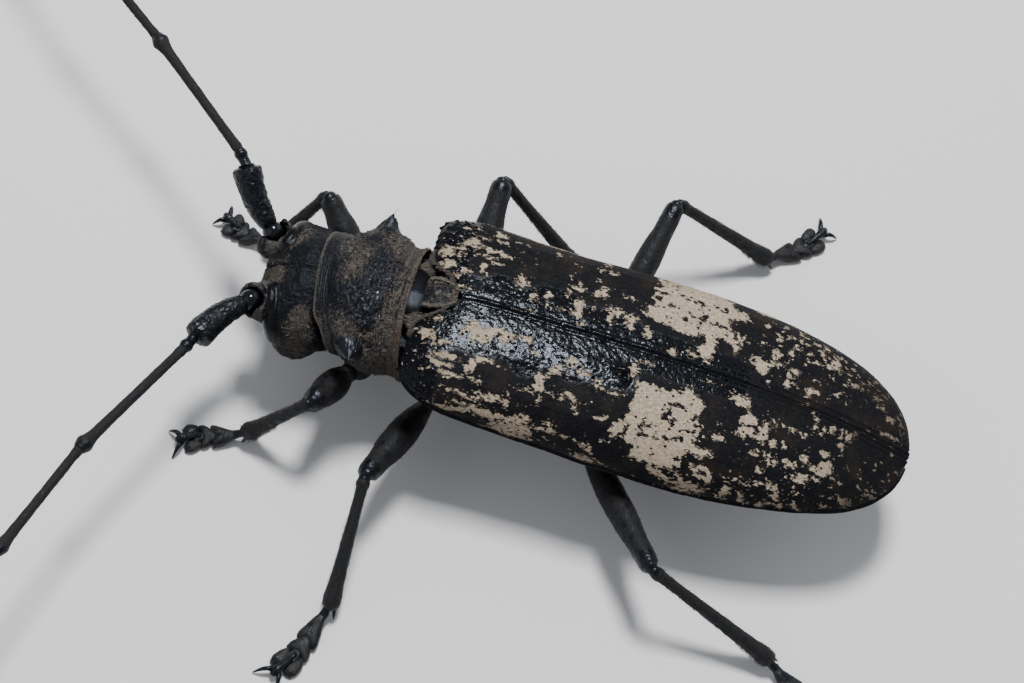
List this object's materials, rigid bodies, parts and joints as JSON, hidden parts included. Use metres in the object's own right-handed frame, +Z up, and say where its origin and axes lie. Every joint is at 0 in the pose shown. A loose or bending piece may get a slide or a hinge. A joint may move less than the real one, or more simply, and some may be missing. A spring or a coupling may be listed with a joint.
{
  "type": "longhorn beetle (meges gravidus)",
  "caption": "Life-size still model of a black longhorn beetle with grey-marked wing cases, long knobbed feelers and a spine on each side, standing on its feet.",
  "frame": {"origin": "on the floor, under the middle of the box round the whole beetle, feelers and legs included", "axes": "+X towards the beetle's left side, +Y towards its tail end, +Z up"},
  "size_m": [0.1216, 0.0846, 0.0133],
  "materials": {
    "cuticle": "semi-gloss black, thinly felted with grey",
    "felted": "rough black with short ochre-brown felt",
    "elytra": "pitted black-brown with beige-grey felt patches",
    "eye": "glossy black",
    "feeler": "black with fine grey down"
  },
  "bodies": {
    "root": {"abdomen": "cuticle", "antenna_left_01": "cuticle", "antenna_left_03": "feeler", "antenna_left_04": "feeler", "antenna_left_05": "feeler", "antenna_left_06": "feeler", "antenna_left_07": "feeler", "antenna_left_08": "feeler", "antenna_left_09": "feeler", "antenna_left_10": "feeler", "antenna_left_11": "feeler", "antenna_right_01": "cuticle", "antenna_right_03": "feeler", "antenna_right_04": "feeler", "antenna_right_05": "feeler", "antenna_right_06": "feeler", "antenna_right_07": "feeler", "antenna_right_08": "feeler", "antenna_right_09": "feeler", "antenna_right_10": "feeler", "antenna_right_11": "feeler", "elytron_left": "elytra", "elytron_right": "elytra", "eye_left": "eye", "eye_right": "eye", "foreleg_left_coxa": "cuticle", "foreleg_left_femur": "cuticle", "foreleg_left_tarsus": "cuticle", "foreleg_left_tibia": "cuticle", "foreleg_right_coxa": "cuticle", "foreleg_right_femur": "cuticle", "foreleg_right_tarsus": "cuticle", "foreleg_right_tibia": "cuticle", "head": "felted", "hindleg_left_coxa": "cuticle", "hindleg_left_femur": "cuticle", "hindleg_left_tarsus": "cuticle", "hindleg_left_tibia": "cuticle", "hindleg_right_coxa": "cuticle", "hindleg_right_femur": "cuticle", "hindleg_right_tarsus": "cuticle", "hindleg_right_tibia": "cuticle", "labrum": "cuticle", "mandible_left": "cuticle", "mandible_right": "cuticle", "mesothorax": "cuticle", "metathorax": "cuticle", "midleg_left_coxa": "cuticle", "midleg_left_femur": "cuticle", "midleg_left_tarsus": "cuticle", "midleg_left_tibia": "cuticle", "midleg_right_coxa": "cuticle", "midleg_right_femur": "cuticle", "midleg_right_tarsus": "cuticle", "midleg_right_tibia": "cuticle", "palp_left": "cuticle", "palp_right": "cuticle", "pronotum": "felted", "scutellum": "felted"}
  },
  "joints": []
}
